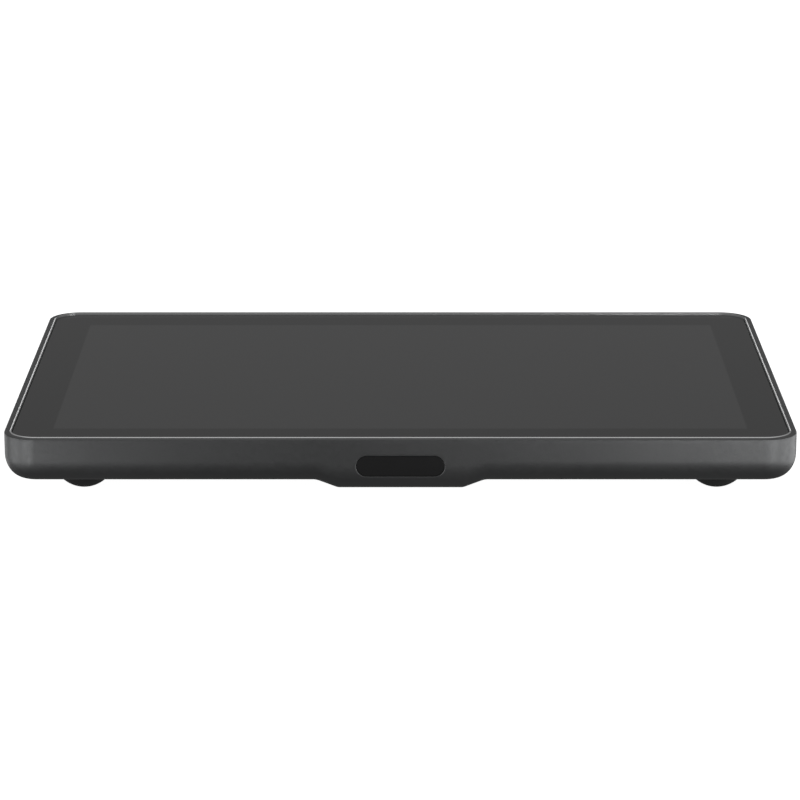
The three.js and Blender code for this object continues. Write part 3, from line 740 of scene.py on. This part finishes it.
def threaded_insert(place):
    """A brass bush with the grooves of its M3 thread made as rings."""
    x, y = INSERTS[place]
    bottom, top = (corner.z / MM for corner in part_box("mount_insert_" + place))
    bore, pitch, groove, crest, lead = 1.25, 0.5, 0.24, 0.08, 0.25
    ease, countersink, root = 0.1, 0.3, 0.05
    outer = INSERT_RADIUS
    profile = [(outer, bottom + ease), (outer - ease, bottom), (bore + countersink, bottom)]
    for i in range(int((top - bottom - countersink) / pitch)):
        z = bottom + lead + i * pitch
        middle = z + pitch / 2
        profile += [(bore, z), (bore, z + crest)]
        profile += [(bore + groove, middle), (bore + groove, middle + root)]
    profile += [(bore, top), (outer, top)]
    return rings_object("brass_insert_" + place, lathe_rings(profile, x, y, 36), 30, wrap=True)


for place in PLACES:
    finish_piece(rubber_foot(place), RUBBER, "rubber", DISPLAY, "foot_" + place)
    finish_piece(threaded_insert(place), BRASS, "brass", DISPLAY, "mount_insert_" + place)


def usb_socket():
    """A rolled steel shell with a tongue and two rows of contacts, open towards the bay."""
    back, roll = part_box("usb_c_socket")[0].y / MM, 0.1
    inner_wide, inner_high = SOCKET_WIDE - 2 * SOCKET_SKIN, SOCKET_HIGH - 2 * SOCKET_SKIN
    shell = rings_object("usb_c_shell", [
        socket_ring(back, SOCKET_WIDE - 2 * roll, SOCKET_HIGH - 2 * roll),
        socket_ring(back + roll, SOCKET_WIDE, SOCKET_HIGH),
        socket_ring(BAY_NEAR - roll, SOCKET_WIDE, SOCKET_HIGH),
        socket_ring(BAY_NEAR, SOCKET_WIDE - 2 * roll, SOCKET_HIGH - 2 * roll),
        socket_ring(BAY_NEAR, inner_wide + 2 * roll, inner_high + 2 * roll),
        socket_ring(BAY_NEAR - 2 * roll, inner_wide, inner_high),
        socket_ring(back + SOCKET_BACK, inner_wide, inner_high),
    ], 40)
    finish_piece(shell, STEEL, "steel", DISPLAY, "usb_c_socket")

    tongue_root, nose, corner = 0.5, 0.25, 0.12
    near = back + TONGUE_INSET + tongue_root
    far = near + TONGUE_LONG
    section = rounded_rectangle(TONGUE_WIDE, TONGUE_THICK, corner, 4)
    tip = rounded_rectangle(TONGUE_WIDE - 2 * nose, TONGUE_THICK - nose, corner, 4)
    tongue = rings_object("usb_c_tongue", [
        [(x, y, SOCKET_Z + z) for x, z in outline]
        for y, outline in ((near, section), (far - nose, section), (far, tip))
    ])
    finish_piece(tongue, NYLON, "moulding", DISPLAY)

    bm = bmesh.new()
    count, pitch, wide, thick = 12, 0.5, 0.25, 0.03
    start, stop = near + 0.6, far - 0.5
    for side in (-1, 1):
        face = SOCKET_Z + side * TONGUE_THICK / 2
        for i in range(count):
            x = (i - (count - 1) / 2) * pitch
            block(bm, x - wide / 2, x + wide / 2, start, stop, face - thick, face + thick)
    finish_piece(new_object("usb_c_contacts", bm), GOLD, "brass", DISPLAY)


def reset_button():
    """A dished cap in a hole, with a flange that keeps it in and a stem up to the switch."""
    face, stem_top = (corner.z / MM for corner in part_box("reset_button"))
    flange = SPINE_FLOOR + TOUCHING
    rest = flange + BUTTON_REST
    edge, dish, ease, steps = 0.2, 0.15, 0.1, 5
    lip = BUTTON_CAP - edge
    profile = [(lip * t, face + dish * (1 - t * t)) for t in (0.1, 0.3, 0.5, 0.7, 0.85, 1.0)]
    for turn in quarter_turn(steps)[1:]:
        profile.append((lip + edge * math.sin(turn), face + edge * (1 - math.cos(turn))))
    profile += [
        (BUTTON_CAP, flange), (BUTTON_FLANGE, flange), (BUTTON_FLANGE, rest), (BUTTON_STEM, rest),
        (BUTTON_STEM, stem_top - ease), (BUTTON_STEM - ease, stem_top),
    ]
    button = rings_object("reset_button_cap", lathe_rings(profile, BUTTON_X, BUTTON_Y), 30)
    finish_piece(button, SATIN, "button", BUTTON, "reset_button")


usb_socket()
reset_button()


# ---------- floor, light and camera ----------

def floor():
    """A pale sheet under the feet, clear from below so that the underside can be looked at."""
    width, corner, gap = 8000, 400, 0.01
    bm = bmesh.new()
    outline = flat_ring(rounded_rectangle(width, width, corner, 8), -gap)
    bm.faces.new([bm.verts.new(Vector(point) * MM) for point in outline])
    obj = new_object("floor", bm)
    mat = material("pale_floor", (0.8, 0.8, 0.8), 0.9)
    shader = shader_of(mat)
    shader.inputs["Emission Color"].default_value = (1, 1, 1, 1)
    shader.inputs["Emission Strength"].default_value = 0.97
    side = node(mat, "ShaderNodeNewGeometry")
    clear = node(mat, "ShaderNodeBsdfTransparent")
    mix = node(mat, "ShaderNodeMixShader")
    link(mat, side.outputs["Backfacing"], mix.inputs["Fac"])
    link(mat, shader.outputs["BSDF"], mix.inputs[1])
    link(mat, clear.outputs["BSDF"], mix.inputs[2])
    link(mat, mix.outputs["Shader"], mat.node_tree.nodes["Material Output"].inputs["Surface"])
    paint(obj, mat)
    obj.visible_glossy = False
    obj.visible_diffuse = False
    obj.visible_shadow = False


def softbox(name, place, target, size, radiance):
    """A lamp of an even brightness over its face, which no view sees directly."""
    light = bpy.data.lights.new(name, "AREA")
    light.shape = "RECTANGLE"
    light.size, light.size_y = size
    light.energy = radiance * math.pi * size[0] * size[1]
    obj = bpy.data.objects.new(name, light)
    obj.location = place
    obj.rotation_euler = (Vector(target) - Vector(place)).to_track_quat("-Z", "Y").to_euler()
    obj.visible_camera = False
    bpy.context.scene.collection.objects.link(obj)


def sky(levels):
    """A grey studio: pairs of a direction's height, from -1 straight down to 1, and a brightness."""
    world = bpy.data.worlds.new("studio")
    bpy.context.scene.world = world
    world.use_nodes = True
    tree = world.node_tree
    coords = tree.nodes.new("ShaderNodeTexCoord")
    split = tree.nodes.new("ShaderNodeSeparateXYZ")
    ramp = tree.nodes.new("ShaderNodeValToRGB")
    scale = tree.nodes.new("ShaderNodeMapRange")
    scale.inputs["From Min"].default_value = -1
    tree.links.new(coords.outputs["Generated"], split.inputs["Vector"])
    tree.links.new(split.outputs["Z"], scale.inputs["Value"])
    tree.links.new(scale.outputs["Result"], ramp.inputs["Fac"])
    stops = ramp.color_ramp.elements
    while len(stops) < len(levels):
        stops.new(0.5)
    for stop, (height, grey) in zip(stops, levels):
        stop.position = (height + 1) / 2
        stop.color = (grey, grey, grey, 1)
    tree.links.new(ramp.outputs["Color"], tree.nodes["Background"].inputs["Color"])


def around(radius, azimuth, height):
    """A place beside the display: azimuth 0 is straight out from the front wall, 90 to the right."""
    turn = math.radians(azimuth)
    return radius * math.sin(turn), FRONT * MM - radius * math.cos(turn), height


floor()
sky([
    (-1.0, 0.08), (-0.85, 0.115), (-0.6, 0.12), (-0.28, 0.13), (0.0, 0.13),
    (0.1, 0.201), (0.36, 0.206), (0.6, 0.3), (1.0, 0.3),
])
CENTRE, MIDDLE = (0, 0, 0), (0, -0.03, 0.01)
softbox("key_overhead", (0, 0.1, 1.6), (0, 0.1, 0), (1.8, 1.6), 0.22)
softbox("card_front_left", around(0.25, -46, -0.038), MIDDLE, (0.15, 0.11), 1.4)
softbox("card_front_right", around(0.25, 38, -0.02), MIDDLE, (0.16, 0.086), 1.94)
softbox("card_right", around(0.25, 60, -0.02), MIDDLE, (0.12, 0.086), 1.0)
softbox("side_left", around(0.6, -83, -0.13), MIDDLE, (0.5, 0.24), 1.22)
softbox("side_left_rear", around(0.6, -135, -0.13), MIDDLE, (0.3, 0.24), 0.9)
softbox("side_right", around(0.6, 85, -0.13), MIDDLE, (0.4, 0.24), 1.55)
softbox("side_right_rear", around(0.6, 120, -0.13), MIDDLE, (0.3, 0.24), 1.65)
softbox("fill_below", (0, 0, -1.2), CENTRE, (0.8, 0.8), 0.05)
softbox("strip_rear_right", (0.5, 0.95, 0.02), CENTRE, (0.4, 0.2), 1.5)
softbox("strip_rear_left", (-0.5, 0.95, 0.02), CENTRE, (0.4, 0.2), 1.5)

TILT = math.radians(15.02)
AHEAD = Vector((0, math.cos(TILT), -math.sin(TILT)))
ABOVE = Vector((0, math.sin(TILT), math.cos(TILT)))
DISTANCE, LIFT, OFFSET = 0.8577, 0.00968, -0.0001
camera_data = bpy.data.cameras.new("camera")
camera_data.lens, camera_data.sensor_width = 157.5, 36.0
camera = bpy.data.objects.new("camera", camera_data)
front_edge = Vector((OFFSET, FRONT * MM, LAND * MM))
camera.location = front_edge - DISTANCE * AHEAD + LIFT * ABOVE
camera.rotation_euler = (math.pi / 2 - TILT, 0, 0)
bpy.context.scene.collection.objects.link(camera)
bpy.context.scene.camera = camera
bpy.context.scene.view_settings.view_transform = "Standard"
